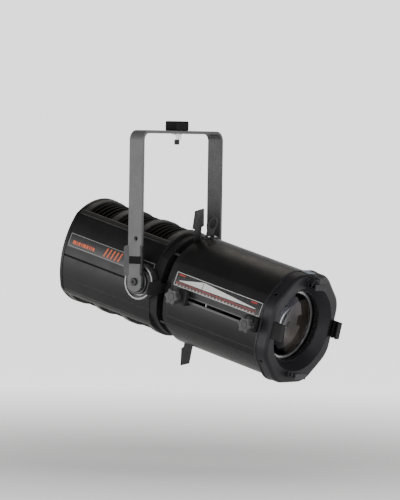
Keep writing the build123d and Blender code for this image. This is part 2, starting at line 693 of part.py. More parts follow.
def lens_carriage(station):
    """Ring with two bored lugs on the rails and an arm out through the barrel's slot."""
    with BuildPart() as carriage:
        with BuildSketch(across(station - CARRIAGE_THICKNESS / 2)):
            Circle(CARRIAGE_RADIUS)
            for height in (-RAIL_HEIGHT, RAIL_HEIGHT):
                with Locations((0, height)):
                    Circle(LUG_RADIUS)
                with Locations((0, height * 0.9)):
                    Rectangle(16, 24)
            Circle(LENS_SEAT, mode=Mode.SUBTRACT)
            for height in (-RAIL_HEIGHT, RAIL_HEIGHT):
                with Locations((0, height)):
                    Circle(RAIL_RADIUS + RAIL_CLEARANCE, mode=Mode.SUBTRACT)
        extrude(amount=CARRIAGE_THICKNESS)
        with BuildSketch(across(station)):
            Circle(LENS_RADIUS + 0.2)
        extrude(amount=CARRIAGE_THICKNESS, mode=Mode.SUBTRACT)
        with BuildSketch(beside(NEAR, CARRIAGE_RADIUS - 2)):
            with Locations((station, 0)):
                Rectangle(ARM_THICKNESS, 2 * ARM_HALF_HEIGHT)
        extrude(amount=SLIDER_INSIDE - CARRIAGE_RADIUS + 2)
    return carriage.part


def lens(station, bulge_back, bulge_front):
    """Round lens whose two faces bulge by the given heights from its edge."""
    back = station
    front = station + LENS_EDGE
    with BuildPart() as glass:
        with BuildSketch(axial()):
            with BuildLine():
                ThreePointArc((back, -LENS_VIEW), (back - bulge_back, 0), (back, LENS_VIEW))
                Polyline((back, LENS_VIEW), (back, LENS_RADIUS), (front, LENS_RADIUS), (front, LENS_VIEW))
                ThreePointArc((front, LENS_VIEW), (front + bulge_front, 0), (front, -LENS_VIEW))
                Polyline((front, -LENS_VIEW), (front, -LENS_RADIUS), (back, -LENS_RADIUS), (back, -LENS_VIEW))
            make_face()
            Rectangle(2 * RING_END, LENS_RADIUS, align=(Align.CENTER, Align.MIN), mode=Mode.INTERSECT)
        revolve(axis=OPTICAL_AXIS)
    return glass.part


def retaining_ring(station):
    """Thin bright ring that keeps a lens in its seat."""
    with BuildPart() as ring:
        with BuildSketch(across(station + LENS_EDGE)):
            Circle(LENS_RADIUS + 3)
            Circle(LENS_RADIUS - 2.5, mode=Mode.SUBTRACT)
        extrude(amount=2.5)
    return ring.part


def slider(station, offset):
    """Block that rides along the outside of the slot, with the clamping stud."""
    with BuildPart() as block:
        with BuildSketch(beside(NEAR, SLIDER_INSIDE)):
            with Locations((station + offset, 0)):
                RectangleRounded(SLIDER_LENGTH, SLIDER_HEIGHT, 4)
        extrude(amount=SLIDER_THICKNESS)
        fillet(block.faces().sort_by(Axis(HEAD.origin, HEAD.y_dir))[0].edges(), 2)
        with BuildSketch(beside(NEAR, SLIDER_FACE)):
            with Locations((station, 0)):
                Circle(STUD_RADIUS)
        extrude(amount=KNOB_FACE - STUD_COVER - STUD_END_GAP - SLIDER_FACE)
    return block.part


def star_knob(side, station, inside, face, stud_radius):
    """Lobed clamping knob on a stud, its hub starting at the distance called inside."""
    with BuildPart() as knob:
        with BuildSketch(beside(side, inside + KNOB_GAP)):
            with Locations((-side * station, 0)):
                Circle(KNOB_HUB_RADIUS + stud_radius - STUD_RADIUS)
        extrude(amount=face - inside - KNOB_GAP)
        with BuildSketch(beside(side, face - KNOB_THICKNESS)):
            with Locations((-side * station, 0)):
                Circle(KNOB_LOBE_CIRCLE + 1)
                with PolarLocations(KNOB_LOBE_CIRCLE, KNOB_LOBES):
                    Circle(KNOB_LOBE_RADIUS)
        extrude(amount=KNOB_THICKNESS)
        face_edges = knob.faces().sort_by(Axis(HEAD.origin, HEAD.y_dir * side))[-1].edges()
        fillet(face_edges, KNOB_EDGE)
        with BuildSketch(beside(side, inside)):
            with Locations((-side * station, 0)):
                Circle(stud_radius + PIVOT_FIT)
        extrude(amount=face - STUD_COVER - inside, mode=Mode.SUBTRACT)
    return knob.part


for place, station, bulges, offset in (
    ("rear", REAR_LENS_STATION, (14.0, 6.0), 6.0),
    ("front", FRONT_LENS_STATION, (4.0, 15.0), -6.0),
):
    save(lens_carriage(station), f"{place}_lens_carriage")
    save(lens(station, *bulges), f"{place}_lens")
    save(retaining_ring(station), f"{place}_lens_ring")
    save(slider(station, offset), f"{place}_slider")
    save(star_knob(NEAR, station, SLIDER_FACE, KNOB_FACE, STUD_RADIUS), f"{place}_star_knob")
save(star_knob(FAR, 0, STRAP_OUTSIDE, LOCK_FACE, PIVOT_RADIUS), "tilt_lock_knob")

# ---- Front ring with its colour-frame clips and latch ----
RING_HALF_WIDTH = 118.0
RING_HALF_HEIGHT = 128.0
RING_FLAT = 127.0           # distance of the slanting flats from the axis
RING_CORNER_FILLET = 60.0
RING_LIP = 4.0              # length of the ring's slightly larger rear edge
RING_STEP = 1.5
RING_EDGE = 8.0             # rounding of the ring's front edge
RING_WALL = 6.2             # measured away from the axis
RECESS_RADIUS = 100.0       # the ring's mouth narrows from here to the throat
THROAT_RADIUS = 84.0
THROAT_STATION = RING_START + 12
POCKET_END = RING_START + 26    # the ring is hollow behind its mouth
RING_SCREW_STATION = RING_START + 15
RING_SCREW_RADIUS = 4.5
RING_SCREW_ANGLES = (38, 142, 218, 322)
RING_SCREW_SEAT = RING_FLAT - 10
CLIP_WIDTH = 38.0
CLIP_WALL = 4.0
CLIP_LIP = 3.0
CLIP_OUTSIDE = 111.0
CLIP_INSIDE = 97.0
FRAME_SLOT = 7.0            # gap between two lips, where a colour frame slides in
LATCH_WIDTH = 26.0
LATCH_HEIGHT = 124.0
LATCH_PIN_RADIUS = 3.0


def ring_section(inset):
    """Eight-sided section with rounded corners, taller than wide."""
    reach = (RING_FLAT - inset) * math.sqrt(2)
    width = RING_HALF_WIDTH - inset
    height = RING_HALF_HEIGHT - inset
    with BuildSketch(mode=Mode.PRIVATE) as shape:
        Rectangle(2 * width, 2 * height)
        with Locations(Location((0, 0), 45)):
            Rectangle(math.sqrt(2) * reach, math.sqrt(2) * reach, mode=Mode.INTERSECT)
        fillet(shape.vertices(), RING_CORNER_FILLET - inset)
    return shape.sketch


def mouth_radius(station):
    """Radius of the ring's tapered mouth at a station."""
    slope = (RECESS_RADIUS - THROAT_RADIUS) / (RING_END - THROAT_STATION)
    return THROAT_RADIUS + slope * (station - THROAT_STATION)


with BuildPart() as front_ring:
    with BuildSketch(across(RING_START)):
        add(ring_section(0))
    extrude(amount=RING_LIP)
    with BuildSketch(across(RING_START + RING_LIP)):
        add(ring_section(RING_STEP))
    extrude(amount=RING_END - RING_START - RING_LIP)
    ring_face = front_ring.faces().sort_by(OPTICAL_AXIS)[-1]
    fillet(ring_face.outer_wire().edges(), RING_EDGE)
    with BuildSketch(axial()):
        Polygon(
            (RING_START, 0),
            (RING_START, THROAT_RADIUS),
            (THROAT_STATION, THROAT_RADIUS),
            (RING_END, RECESS_RADIUS),
            (RING_END, 0),
            align=None,
        )
        Polygon(
            (RING_START, THROAT_RADIUS + RING_WALL),
            (THROAT_STATION, THROAT_RADIUS + RING_WALL),
            (POCKET_END, mouth_radius(POCKET_END) + RING_WALL),
            (POCKET_END, OPENING_RADIUS),
            (RING_START, OPENING_RADIUS),
            align=None,
        )
    revolve(axis=OPTICAL_AXIS, mode=Mode.SUBTRACT)
    for angle in RING_SCREW_ANGLES:
        with BuildSketch(radial(RING_SCREW_STATION, angle, RING_SCREW_SEAT)):
            Circle(RING_SCREW_RADIUS)
        extrude(amount=RING_HALF_HEIGHT - RING_SCREW_SEAT, mode=Mode.SUBTRACT)
save(front_ring.part, "front_ring")

SCREW_CAP_HEIGHT = 3.0
SCREW_HEX_RADIUS = 2.4
with BuildPart() as ring_screws:
    for angle in RING_SCREW_ANGLES:
        with BuildSketch(radial(RING_SCREW_STATION, angle, RING_SCREW_SEAT)):
            Circle(RING_SCREW_RADIUS)
        extrude(amount=SCREW_CAP_HEIGHT)
        with BuildSketch(radial(RING_SCREW_STATION, angle, RING_SCREW_SEAT + SCREW_CAP_HEIGHT)):
            RegularPolygon(SCREW_HEX_RADIUS, 6)
        extrude(amount=-SCREW_CAP_HEIGHT / 2, mode=Mode.SUBTRACT)
save(ring_screws.part, "ring_screws")


def clip_profile(walled):
    """Section of a clip along the axis: three lips with two frame slots, and an outer wall."""
    with BuildSketch(mode=Mode.PRIVATE) as shape:
        if walled:
            with Locations((RING_END, CLIP_OUTSIDE)):
                Rectangle(CLIP_END - RING_END, CLIP_WALL, align=(Align.MIN, Align.MAX))
        else:
            with Locations((RING_END, CLIP_INSIDE)):
                Rectangle(CLIP_END - RING_END, CLIP_WALL, align=(Align.MIN, Align.MIN))
        for lip in range(3):
            with Locations((RING_END + lip * (FRAME_SLOT + CLIP_LIP + 0.5), CLIP_INSIDE)):
                Rectangle(CLIP_LIP, CLIP_OUTSIDE - CLIP_INSIDE, align=(Align.MIN, Align.MIN))
    return shape.sketch


def clip_plane(angle):
    """Plane holding the optical axis whose y points away from it in the direction of angle."""
    turn = math.radians(angle)
    outward = HEAD.y_dir * math.cos(turn) + HEAD.z_dir * math.sin(turn)
    return Plane(origin=HEAD.origin, x_dir=HEAD.x_dir, z_dir=HEAD.x_dir.cross(outward))


LATCH_STATION = RING_END + 10
with BuildPart() as frame_clips:
    for angle in (0, 180, 270):
        with BuildSketch(clip_plane(angle)):
            add(clip_profile(True))
        extrude(amount=CLIP_WIDTH / 2, both=True)
save(frame_clips.part, "frame_clips")

with BuildPart() as top_clip:
    with BuildSketch(clip_plane(90)):
        add(clip_profile(False))
    extrude(amount=CLIP_WIDTH / 2, both=True)
    for side in (NEAR, FAR):
        with BuildSketch(beside(side, LATCH_WIDTH / 2 + 0.4)):
            with Locations((-side * LATCH_STATION, CLIP_OUTSIDE - 4)):
                Rectangle(8, LATCH_HEIGHT - CLIP_OUTSIDE + 9, align=(Align.CENTER, Align.MIN))
        extrude(amount=3.6)
    with BuildSketch(beside(FAR, CLIP_WIDTH / 2)):
        with Locations((-LATCH_STATION, LATCH_HEIGHT)):
            Circle(LATCH_PIN_RADIUS)
    extrude(amount=-CLIP_WIDTH, mode=Mode.SUBTRACT)
save(top_clip.part, "top_clip")

with BuildPart() as latch_pin:
    with BuildSketch(beside(FAR, LATCH_WIDTH / 2 + 4)):
        with Locations((-LATCH_STATION, LATCH_HEIGHT)):
            Circle(LATCH_PIN_RADIUS)
    extrude(amount=-(LATCH_WIDTH + 8))
save(latch_pin.part, "latch_pin")

with BuildPart() as frame_latch:
    with BuildSketch(clip_plane(90)):
        with Locations((LATCH_STATION, LATCH_HEIGHT)):
            Circle(LATCH_PIN_RADIUS + 2.5)
            Rectangle(CLIP_END + 3 - LATCH_STATION, 3, align=(Align.MIN, Align.CENTER))
            Circle(LATCH_PIN_RADIUS + PIVOT_FIT, mode=Mode.SUBTRACT)
        with Locations((CLIP_END + 1, LATCH_HEIGHT + 1.5)):
            Rectangle(2.5, 12, align=(Align.MIN, Align.MAX))
    extrude(amount=LATCH_WIDTH / 2, both=True)
save(frame_latch.part, "frame_latch")

# ---- Tilt discs, pivot supports and side plates on the head ----
DISC_INSIDE = REAR_HALF_WIDTH + 0.1
RIM_WIDTH = 4.0
RIM_FACE = 131.0
DISC_FACE = 127.0
PAD_GAP = 0.3
SUPPORT_WIDTH = 30.0
SUPPORT_HEIGHT = 44.0
SUPPORT_FRONT = 7.7         # the support stops short of the front frame
LABEL_LOW = 15.0
LABEL_HIGH = 48.0
LABEL_THICKNESS = 0.6
SCALE_LOW = 18.0
SCALE_HIGH = 52.0

with BuildPart() as tilt_discs:
    for side in (NEAR, FAR):
        with BuildSketch(yoke_side(side, DISC_INSIDE, 0)):
            Circle(DISC_RADIUS)
        extrude(amount=DISC_FACE - DISC_INSIDE)
        with BuildSketch(yoke_side(side, DISC_FACE, 0)):
            Circle(DISC_RADIUS)
            Circle(DISC_RADIUS - RIM_WIDTH, mode=Mode.SUBTRACT)
        extrude(amount=RIM_FACE - DISC_FACE)
        with BuildSketch(yoke_side(side, DISC_FACE, 0)):
            Circle(PAD_RADIUS)
        extrude(amount=PLATE_INSIDE - PAD_THICKNESS - PAD_GAP - DISC_FACE)
        with BuildSketch(yoke_side(side, DISC_INSIDE, 0)):
            Circle(PIVOT_RADIUS + PIVOT_FIT)
        extrude(amount=STRAP_INSIDE - DISC_INSIDE, mode=Mode.SUBTRACT)
save(tilt_discs.part, "tilt_discs")

with BuildPart() as pivot_supports:
    for side in (NEAR, FAR):
        with BuildSketch(beside(side, REAR_HALF_WIDTH - WALL - 3)):
            with Locations((side * SUPPORT_WIDTH / 2 - side * SUPPORT_FRONT, 0)):
                RectangleRounded(SUPPORT_WIDTH, SUPPORT_HEIGHT, 4)
            Circle(PIVOT_RADIUS + PIVOT_FIT, mode=Mode.SUBTRACT)
        extrude(amount=-6)
save(pivot_supports.part, "pivot_supports")


def side_plate(side, half_width, low, high, start, end):
    """Thin printed plate lying on the curved side of the body."""
    with BuildPart() as plate:
        with BuildSketch(across(start)):
            with Locations((-side * (SIDE_RADIUS - half_width), 0)):
                Circle(SIDE_RADIUS + LABEL_THICKNESS)
                Circle(SIDE_RADIUS, mode=Mode.SUBTRACT)
            with Locations((side * half_width, low)):
                Rectangle(SIDE_RADIUS, high - low, align=(Align.CENTER, Align.MIN), mode=Mode.INTERSECT)
        extrude(amount=end - start)
    return plate.part


LABEL_START = BODY_START + 4
LABEL_END = GATE_START - 4
SCALE_START = BARREL_START + 7
SCALE_END = BARREL_END - 4
label_plates = [
    side_plate(side, REAR_HALF_WIDTH, LABEL_LOW, LABEL_HIGH, LABEL_START, LABEL_END)
    for side in (NEAR, FAR)
]
save(Compound(children=label_plates), "label_plates")
save(side_plate(NEAR, BARREL_HALF_WIDTH, SCALE_LOW, SCALE_HIGH, SCALE_START, SCALE_END), "zoom_scale_plate")
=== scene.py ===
import bpy
import json
import math
from mathutils import Matrix, Vector


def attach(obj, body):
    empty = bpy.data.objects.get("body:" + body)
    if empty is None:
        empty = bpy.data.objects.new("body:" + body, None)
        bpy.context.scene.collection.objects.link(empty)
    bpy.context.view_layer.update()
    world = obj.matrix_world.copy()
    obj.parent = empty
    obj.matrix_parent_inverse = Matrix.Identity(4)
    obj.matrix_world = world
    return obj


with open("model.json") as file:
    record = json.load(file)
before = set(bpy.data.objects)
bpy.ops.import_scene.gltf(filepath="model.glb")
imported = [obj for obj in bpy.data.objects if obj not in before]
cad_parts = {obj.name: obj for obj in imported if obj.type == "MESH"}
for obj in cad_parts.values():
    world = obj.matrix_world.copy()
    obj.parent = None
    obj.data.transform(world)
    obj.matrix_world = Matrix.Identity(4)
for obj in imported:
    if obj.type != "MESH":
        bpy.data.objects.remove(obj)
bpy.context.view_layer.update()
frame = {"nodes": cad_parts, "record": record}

# ---------------------------------------------------------------- shared dimensions, in mm
MM = 0.001                  # one millimetre in the row frame's metres
PIVOT_DROP = 367.0          # from the top of the hanging shoe down to the tilt pivot
HEAD_TILT = math.radians(14.6)
SIDE_RADIUS = 185.0         # curve of the side plates
REAR_HALF_WIDTH = 111.0     # axis to the crown of a side plate, on the lamp house
BARREL_HALF_WIDTH = 117.0   # the same on the front barrel
BODY_RADIUS = 125.0
BODY_START = -248.0
BODY_END = 24.0
LABEL_THICKNESS = 0.6
NEAR = -1
FAR = 1
SIDES = ((NEAR, "near"), (FAR, "far"))

FORWARD = Vector((math.cos(HEAD_TILT), 0, -math.sin(HEAD_TILT)))
UPWARD = Vector((math.sin(HEAD_TILT), 0, math.cos(HEAD_TILT)))
SIDEWAYS = Vector((0, 1, 0))


def head(u, y, v):
    """A point of the head's own frame (station, sideways, up) in the row frame, in metres."""
    x = u * math.cos(HEAD_TILT) + v * math.sin(HEAD_TILT)
    z = -u * math.sin(HEAD_TILT) + v * math.cos(HEAD_TILT) - PIVOT_DROP
    return Vector((x * MM, y * MM, z * MM))


# ---------------------------------------------------------------- node helpers
EDGE_SAMPLES = 6
EDGE_RADIUS = 0.0012        # metres, the usual rounding of an edge
DUST_TONE = (0.35, 0.34, 0.32)
DUST_SCALE = 260.0
CHIP_SCALE = 120.0
CLOUD_SCALE = 14.0


def shades(base, spread):
    """A colour made darker and lighter by the same share."""
    return tuple(c * (1 - spread) for c in base), tuple(min(c * (1 + spread), 1.0) for c in base)


class Nodes:
    """Thin wrapper that makes a material's node tree easier to write."""

    def __init__(self, name):
        self.material = bpy.data.materials.new(name)
        self.material.use_nodes = True
        self.tree = self.material.node_tree
        self.shader = self.tree.nodes["Principled BSDF"]
        self.place = self.add("ShaderNodeTexCoord").outputs["Object"]

    def add(self, kind, **values):
        node = self.tree.nodes.new(kind)
        for key, value in values.items():
            if hasattr(node, key):
                setattr(node, key, value)
            else:
                node.inputs[key].default_value = value
        return node

    def join(self, source, target):
        self.tree.links.new(source, target)

    def feed(self, node, values):
        """Give a node's sockets, in order, either another node's output or a plain value."""
        for socket, value in zip(node.inputs, values):
            if hasattr(value, "is_linked"):
                self.join(value, socket)
            else:
                socket.default_value = value
        return node

    def axis(self, letter):
        split = self.feed(self.add("ShaderNodeSeparateXYZ"), [self.place])
        return split.outputs[letter]

    def noise(self, scale, detail=3.0, rough=0.5, stretch=(1, 1, 1)):
        mapping = self.add("ShaderNodeMapping", Scale=stretch)
        self.join(self.place, mapping.inputs["Vector"])
        node = self.add("ShaderNodeTexNoise", Scale=scale, Detail=detail, Roughness=rough)
        self.join(mapping.outputs["Vector"], node.inputs["Vector"])
        return node.outputs["Fac"]

    def remap(self, value, low, high, to_low, to_high):
        node = self.feed(self.add("ShaderNodeMapRange"), (value, low, high, to_low, to_high))
        return node.outputs["Result"]

    def math(self, operation, a, b):
        return self.feed(self.add("ShaderNodeMath", operation=operation), (a, b)).outputs["Value"]

    def vector(self, operation, a, b, result="Vector"):
        return self.feed(self.add("ShaderNodeVectorMath", operation=operation), (a, b)).outputs[result]

    def mix(self, factor, a, b):
        node = self.add("ShaderNodeMix", data_type="RGBA")
        self.join(factor, node.inputs["Factor"])
        for socket, value in ((node.inputs[6], a), (node.inputs[7], b)):
            if isinstance(value, tuple):
                socket.default_value = (*value, 1.0)
            else:
                self.join(value, socket)
        return node.outputs[2]

    def edge(self, radius):
        """Rounded normal, and a mask that is 1 along sharp edges."""
        bevel = self.add("ShaderNodeBevel", samples=EDGE_SAMPLES, Radius=radius)
        geometry = self.add("ShaderNodeNewGeometry")
        flat = self.vector("DOT_PRODUCT", bevel.outputs["Normal"], geometry.outputs["Normal"], "Value")
        return bevel.outputs["Normal"], self.remap(flat, 0.80, 0.995, 1.0, 0.0)

    def bump(self, height, strength, distance, normal=None):
        node = self.add("ShaderNodeBump", Strength=strength, Distance=distance)
        self.join(height, node.inputs["Height"])
        if normal is not None:
            self.join(normal, node.inputs["Normal"])
        return node.outputs["Normal"]

    def clouded(self, base, spread, scale=CLOUD_SCALE):
        """Colour that drifts between a darker and a lighter shade."""
        cloud = self.remap(self.noise(scale, 5.0, 0.6), 0.3, 0.7, 0.0, 1.0)
        return self.mix(cloud, *shades(base, spread))

    def dusted(self, colour, amount):
        """Pale specks of dust over a colour."""
        specks = self.remap(self.noise(DUST_SCALE, 2.0, 0.7), 0.62, 0.8, 0.0, amount)
        return self.mix(specks, colour, DUST_TONE)

    def chipped(self, colour, mask, wear, wear_colour):
        """Paint worn away in places, where the mask is 1."""
        chips = self.remap(self.noise(CHIP_SCALE, 4.0, 0.7), 0.42, 0.62, 0.0, wear)
        return self.mix(self.math("MULTIPLY", mask, chips), colour, wear_colour)

    def set(self, **values):
        for key, value in values.items():
            socket = self.shader.inputs[key.replace("_", " ")]
            if hasattr(value, "is_linked"):
                self.join(value, socket)
            else:
                socket.default_value = (*value, 1.0) if isinstance(value, tuple) else value


# ---------------------------------------------------------------- kinds of finish
LENS_FILM_IOR = 1.38


def coated(name, base, rough, *, metallic=0.0, specular=0.5, spread=0.25, grain=900.0, grain_depth=0.00006,
           wear=0.35, wear_colour=(0.3, 0.3, 0.3), edge_radius=EDGE_RADIUS, blotch=CLOUD_SCALE, dust=0.0):
    """Painted, moulded or cast surface: uneven colour, fine grain, worn edges and a little dust."""
    n = Nodes(name)
    colour = n.clouded(base, spread, blotch)
    if dust:
        colour = n.dusted(colour, dust)
    normal, mask = n.edge(edge_radius)
    colour = n.chipped(colour, mask, wear, wear_colour)
    fine = n.noise(grain, 2.0, 0.6)
    uneven = n.remap(n.noise(blotch * 3, 3.0), 0.3, 0.7, rough - 0.05, rough + 0.05)
    n.set(Base_Color=colour, Roughness=n.math("ADD", uneven, n.remap(fine, 0.3, 0.7, -0.03, 0.03)),
          Metallic=metallic, Normal=n.bump(fine, 0.6, grain_depth, normal), Specular_IOR_Level=specular)
    return n.material


def brushed(name, base, rough, *, stretch=(1, 1, 1), spread=0.12, scale=30.0, depth=0.00004):
    """Turned, rolled or plated metal with fine streaks."""
    n = Nodes(name)
    streak = n.noise(scale, 4.0, 0.7, stretch)
    cloud = n.noise(45.0, 4.0, 0.6)
    colour = n.mix(n.remap(streak, 0.3, 0.7, 0.0, 1.0), *shades(base, spread))
    colour = n.mix(n.remap(cloud, 0.55, 0.75, 0.0, 0.35), colour, tuple(c * 0.6 for c in base))
    normal, mask = n.edge(0.0006)
    colour = n.mix(n.math("MULTIPLY", mask, 0.4), colour, tuple(min(c * 1.3, 1.0) for c in base))
    n.set(Base_Color=colour, Roughness=n.remap(cloud, 0.3, 0.7, rough - 0.07, rough + 0.08), Metallic=1.0,
          Normal=n.bump(streak, 0.5, depth, normal))
    return n.material


def glass(name, tint, *, rough=0.0, film=0.0, ior=1.5):
    """Clear glass with the faintest smears and an optional lens coating, its film in nanometres."""
    n = Nodes(name)
    smear = n.noise(22.0, 5.0, 0.7)
    fine = n.noise(300.0, 2.0)
    colour = n.mix(n.remap(smear, 0.35, 0.7, 0.0, 1.0), tint, tuple(c * 0.97 for c in tint))
    n.set(Base_Color=colour, Roughness=n.remap(smear, 0.5, 0.8, rough, rough + 0.04),
          Normal=n.bump(fine, 0.004, 0.00001), Transmission_Weight=1.0, IOR=ior)
    if film:
        n.set(Thin_Film_Thickness=film, Thin_Film_IOR=LENS_FILM_IOR)
    return n.material


def printed(name, colour, *, rough=0.45):
    """Screen-printed ink with slightly uneven cover."""
    n = Nodes(name)
    ink = n.noise(700.0, 3.0, 0.7)
    tone = n.mix(n.remap(ink, 0.25, 0.45, 0.0, 1.0), tuple(c * 0.75 for c in colour), colour)
    n.set(Base_Color=tone, Roughness=n.remap(ink, 0.3, 0.7, rough - 0.05, rough + 0.08),
          Normal=n.bump(ink, 0.3, 0.00002))
    return n.material


# ---------------------------------------------------------------- one material for each slot
MATERIALS = {
    "yoke_grey": coated(
        "yoke_powder_coat", (0.118, 0.118, 0.120), 0.46, metallic=0.12, specular=0.40, spread=0.12,
        grain=1200.0, grain_depth=0.00012, wear=0.3, wear_colour=(0.30, 0.30, 0.30), dust=0.08),
    "black_satin": coated(
        "black_satin_coat", (0.009, 0.009, 0.009), 0.34, specular=0.30, spread=0.3, grain=1500.0,
        grain_depth=0.00005, wear=0.45, wear_colour=(0.16, 0.155, 0.15), dust=0.03),
    "black_matt": coated(
        "black_matt_coat", (0.010, 0.010, 0.011), 0.55, specular=0.3, spread=0.3, grain_depth=0.0001,
        wear=0.3, wear_colour=(0.10, 0.10, 0.10), dust=0.04),
    "frame_grey": coated(
        "cast_frame_coat", (0.019, 0.0185, 0.0175), 0.42, grain=700.0, grain_depth=0.00008, wear=0.5,
        wear_colour=(0.16, 0.16, 0.165), edge_radius=0.003),
    "ring_grey": coated(
        "ring_powder_coat", (0.0125, 0.0120, 0.0150), 0.44, specular=0.35, grain=1100.0, grain_depth=0.00009,
        wear=0.5, wear_colour=(0.20, 0.20, 0.21), edge_radius=0.0016),
    "clip_grey": coated(
        "clip_coat", (0.018, 0.018, 0.020), 0.40, spread=0.2, wear=0.6, wear_colour=(0.22, 0.22, 0.23)),
    "bright_aluminium": brushed("turned_aluminium", (0.62, 0.62, 0.63), 0.32, stretch=(60, 1, 60)),
    "zinc_steel": brushed("zinc_plated_steel", (0.62, 0.63, 0.65), 0.28, scale=160.0),
    "blade_steel": brushed("rolled_stainless", (0.42, 0.42, 0.44), 0.34, stretch=(1, 40, 1)),
    "black_plastic": coated(
        "moulded_black_plastic", (0.027, 0.027, 0.029), 0.44, specular=0.28, spread=0.2, grain=1400.0,
        grain_depth=0.00012, wear=0.4, wear_colour=(0.12, 0.12, 0.125)),
    "knob_grey": coated(
        "moulded_knob_grey", (0.050, 0.050, 0.052), 0.45, spread=0.15, grain=1300.0, grain_depth=0.00012,
        wear=0.4, wear_colour=(0.28, 0.28, 0.29), edge_radius=0.0016),
    "blackened_steel": coated(
        "blackened_steel", (0.026, 0.026, 0.028), 0.36, metallic=0.4, spread=0.3, grain=1500.0,
        grain_depth=0.00005, wear=0.6, wear_colour=(0.22, 0.22, 0.225), edge_radius=0.0008),
    "friction_fibre": coated(
        "pressed_fibre", (0.05, 0.043, 0.036), 0.85, spread=0.35, grain=420.0, grain_depth=0.0003, wear=0.2,
        wear_colour=(0.12, 0.11, 0.10), blotch=90.0),
    "label_black": coated(
        "printed_label", (0.016, 0.015, 0.016), 0.28, specular=0.55, spread=0.2, grain=2200.0,
        grain_depth=0.00002, wear=0.3, wear_colour=(0.2, 0.2, 0.2), edge_radius=0.0004),
    "reflector_mirror": brushed(
        "reflector_mirror", (0.90, 0.90, 0.89), 0.10, scale=60.0, spread=0.04, depth=0.00001),
    "lens_glass": glass("coated_lens", (0.80, 0.82, 0.84), film=118.0),
    "lamp_glass": glass("quartz_envelope", (0.95, 0.96, 0.97), rough=0.02, ior=1.46),
    "ceramic_white": coated(
        "lamp_ceramic", (0.74, 0.72, 0.66), 0.7, spread=0.08, grain=600.0, wear=0.2,
        wear_colour=(0.5, 0.48, 0.44), dust=0.1),
}
DEEP_BLACK = coated(
    "deep_black", (0.004, 0.004, 0.004), 0.55, specular=0.10, spread=0.3, grain=1200.0, wear=0.15,
    wear_colour=(0.05, 0.05, 0.05))
PRINT_WHITE = printed("white_print", (0.80, 0.80, 0.79))
PRINT_GREY = printed("grey_print", (0.34, 0.34, 0.34))
PRINT_ORANGE = printed("orange_print", (0.72, 0.13, 0.04))
PRINT_PINK = printed("pink_print", (0.62, 0.40, 0.38))
PRINT_RED = printed("red_print", (0.60, 0.05, 0.03))

# ---------------------------------------------------------------- finishes that change across one piece
DISC_RIM = 0.0357           # metres from the tilt pivot to where the disc's bright rim starts
DISC_LINE = 0.0310          # outer radius of the bright turned line inside the rim
DISC_LINE_WIDTH = 0.0032
DISC_BLUR = 0.0004
CLIP_SPLIT = (0.05, 0.07)   # metres sideways between the clip below and the clips at the sides
YOKE_HALF_WIDTH = 0.14


def rimmed(name):
    """Turned disc about the tilt pivot: bright rim and line, black face between them."""
    n = Nodes(name)
    height = n.math("ADD", n.axis("Z"), PIVOT_DROP * MM)
    square = n.math("ADD", n.math("POWER", n.axis("X"), 2.0), n.math("POWER", height, 2.0))
    radius = n.math("POWER", square, 0.5)
    rim = n.remap(radius, DISC_RIM, DISC_RIM + DISC_BLUR, 0.0, 1.0)
    line_start = DISC_LINE - DISC_LINE_WIDTH
    line = n.math("MULTIPLY", n.remap(radius, line_start - DISC_BLUR, line_start, 0.0, 1.0),
                  n.remap(radius, DISC_LINE, DISC_LINE + DISC_BLUR, 1.0, 0.0))
    bright = n.math("MAXIMUM", rim, line)
    scratch = n.noise(70.0, 4.0, 0.7)
    metal = n.mix(n.remap(scratch, 0.35, 0.65, 0.0, 1.0), (0.20, 0.20, 0.205), (0.33, 0.33, 0.335))
    paint = n.mix(n.remap(scratch, 0.4, 0.8, 0.0, 1.0), (0.010, 0.010, 0.011), (0.03, 0.03, 0.032))
    normal, _ = n.edge(EDGE_RADIUS)
    n.set(Base_Color=n.mix(bright, paint, metal), Metallic=bright,
          Roughness=n.remap(scratch, 0.3, 0.7, 0.36, 0.50), Normal=n.bump(scratch, 0.4, 0.00005, normal))
    return n.material


def lined(name, outside):
    """The outside colour, with every wall that faces the optical axis painted dull black."""
    n = Nodes(name)
    place = n.vector("ADD", n.place, (0, 0, PIVOT_DROP * MM))
    outward = n.vector("SUBTRACT", place, n.vector("PROJECT", place, FORWARD))
    own_normal = n.add("ShaderNodeVectorTransform", vector_type="NORMAL", convert_from="WORLD",
                       convert_to="OBJECT")
    n.join(n.add("ShaderNodeNewGeometry").outputs["Normal"], own_normal.inputs["Vector"])
    facing = n.vector("DOT_PRODUCT", outward, own_normal.outputs["Vector"], "Value")
    inside = n.remap(facing, -0.03, -0.01, 1.0, 0.0)
    paint = n.dusted(n.clouded(outside, 0.3), 0.03)
    normal, mask = n.edge(EDGE_RADIUS)
    paint = n.chipped(paint, mask, 0.45, (0.16, 0.155, 0.15))
    gloss = n.remap(n.noise(42.0, 3.0), 0.3, 0.7, 0.27, 0.36)
    n.set(Base_Color=n.mix(inside, paint, (0.002, 0.002, 0.002)), Roughness=n.math("MAXIMUM", gloss, inside),
          Normal=n.bump(n.noise(1500.0, 2.0, 0.6), 0.6, 0.00005, normal), Specular_IOR_Level=0.30)
    return n.material


